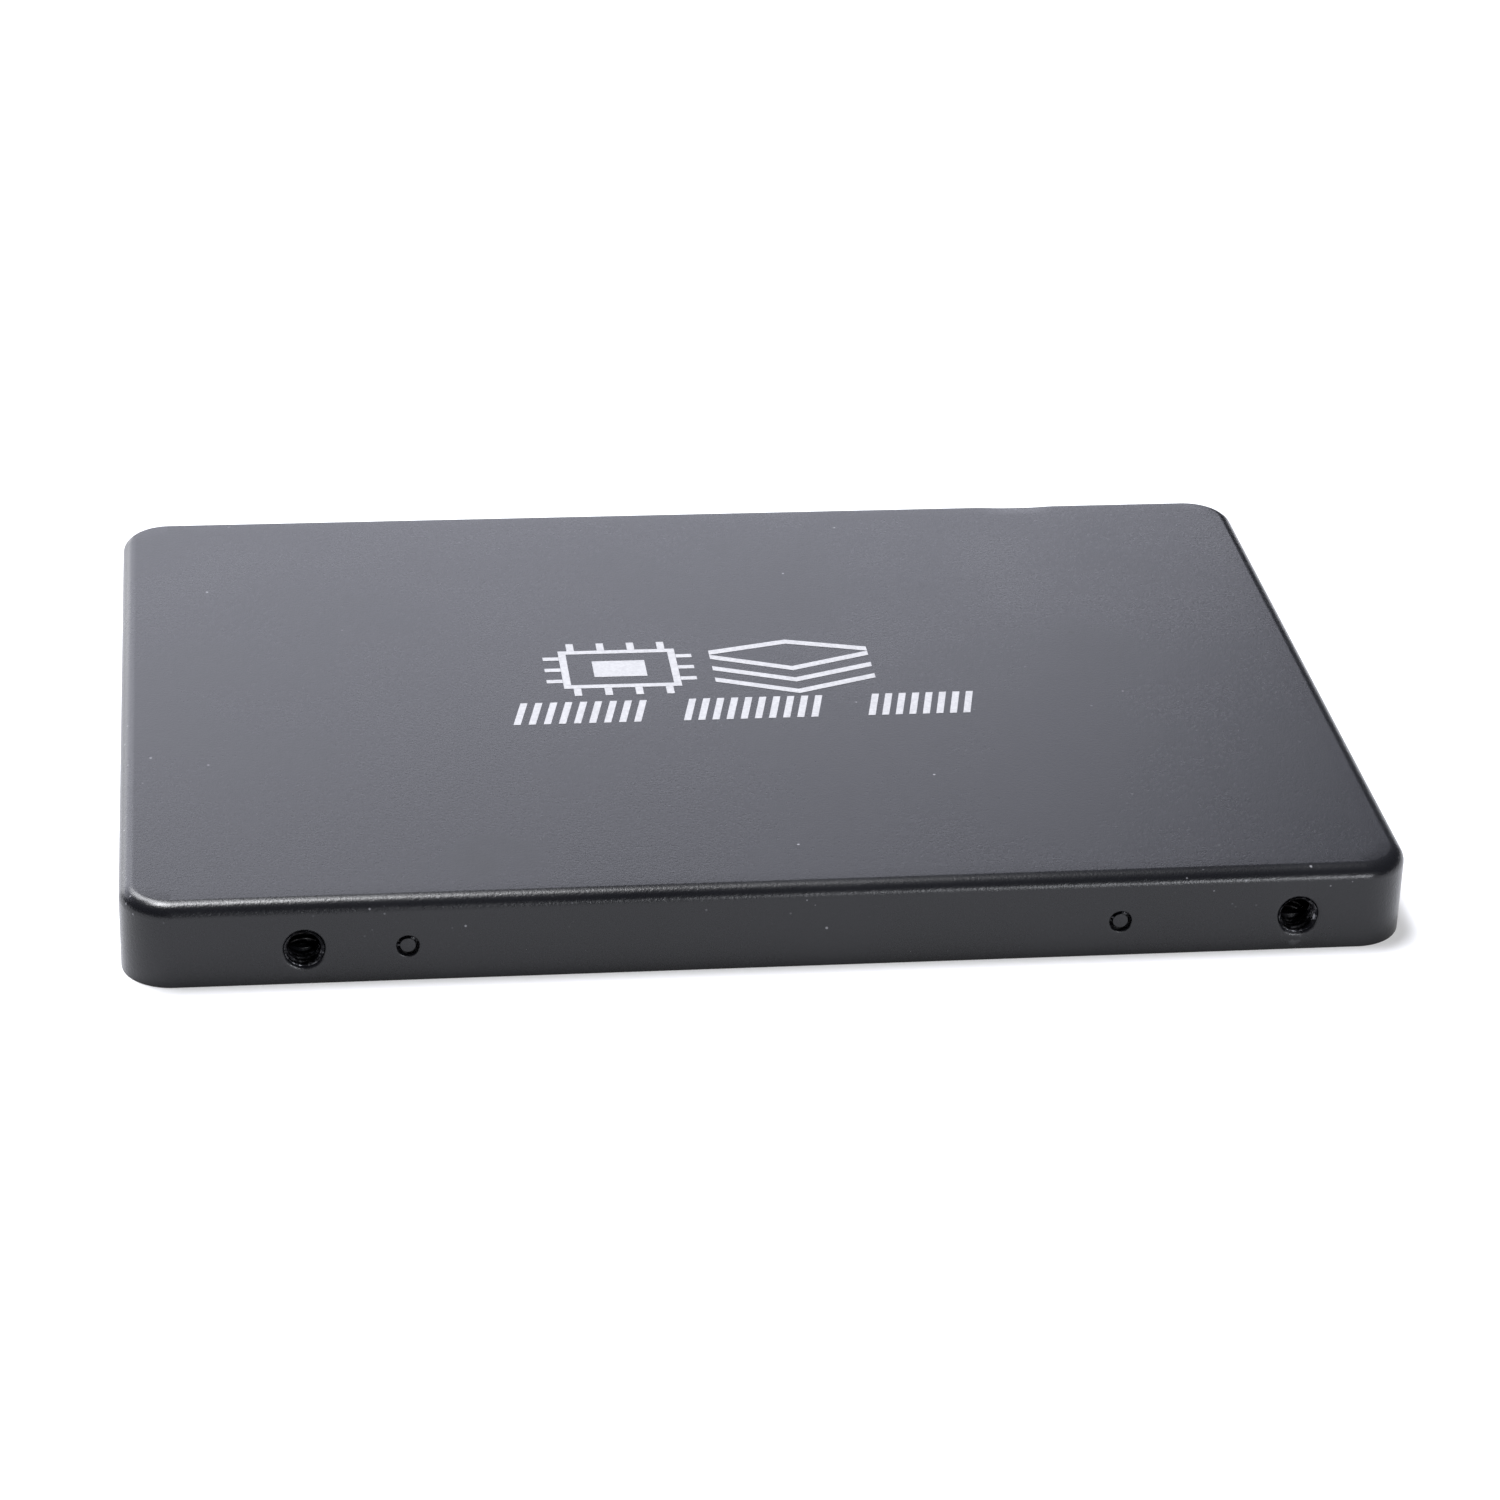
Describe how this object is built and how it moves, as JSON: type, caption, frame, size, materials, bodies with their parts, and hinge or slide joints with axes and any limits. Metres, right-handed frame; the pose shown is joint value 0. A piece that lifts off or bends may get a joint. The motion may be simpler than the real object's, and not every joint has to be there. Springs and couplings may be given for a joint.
{
  "type": "solid state drive",
  "caption": "Slim rectangular 2.5 inch solid state drive: a black metal case with threaded mounting holes, a circuit board with memory chips inside, and a data and power plug at one end.",
  "frame": {"origin": "middle of the case's bottom face", "axes": "+X along the length from the connector end to the closed end, +Y across the width to the long side nearer the data half of the plug, +Z out of the top cover"},
  "size_m": [0.0994, 0.0698, 0.007],
  "materials": {
    "case_black": "fine satin black coat on drawn aluminium sheet",
    "label_paper": "matt coated label",
    "film_amber": "thin insulating film",
    "board_green": "solder mask over glass-fibre board",
    "standoff_brass": "turned",
    "screw_steel": "plated",
    "connector_black": "moulded, glass filled",
    "contact_gold": "gold plated",
    "tinned_metal": "tinned",
    "chip_black": "moulded epoxy",
    "thermal_pad": "soft, slightly tacky",
    "ceramic_cream": "fired, unglazed",
    "ferrite_grey": "pressed ferrite",
    "tantalum_yellow": "moulded",
    "ceramic_tan": "fired, unglazed",
    "resistor_black": "glass overcoat",
    "led_lens": "clear resin"
  },
  "bodies": {
    "root": {"top_cover": "case_black", "bottom_cover": "case_black", "bottom_label": "label_paper", "insulator_film": "film_amber", "circuit_board": "board_green", "board_standoffs": "standoff_brass", "board_screws": "screw_steel", "sata_housing": "connector_black", "sata_signal_contacts": "contact_gold", "sata_power_contacts": "contact_gold", "sata_board_locks": "tinned_metal", "controller_chip": "chip_black", "controller_thermal_pad": "thermal_pad", "memory_chip_1": "chip_black", "memory_chip_2": "chip_black", "memory_chip_3": "chip_black", "memory_chip_4": "chip_black", "memory_thermal_pads": "thermal_pad", "cache_chip": "chip_black", "boot_memory": "chip_black", "boot_memory_leads": "tinned_metal", "clock_crystal": "ceramic_cream", "crystal_lid": "tinned_metal", "power_inductors": "ferrite_grey", "inductor_terminals": "tinned_metal", "voltage_regulators": "chip_black", "regulator_leads": "tinned_metal", "input_fuse": "ceramic_cream", "surge_suppressor": "chip_black", "tantalum_capacitors": "tantalum_yellow", "ceramic_capacitors": "ceramic_tan", "capacitor_terminals": "tinned_metal", "chip_resistors": "resistor_black", "resistor_terminals": "tinned_metal", "activity_led": "led_lens"}
  },
  "joints": []
}
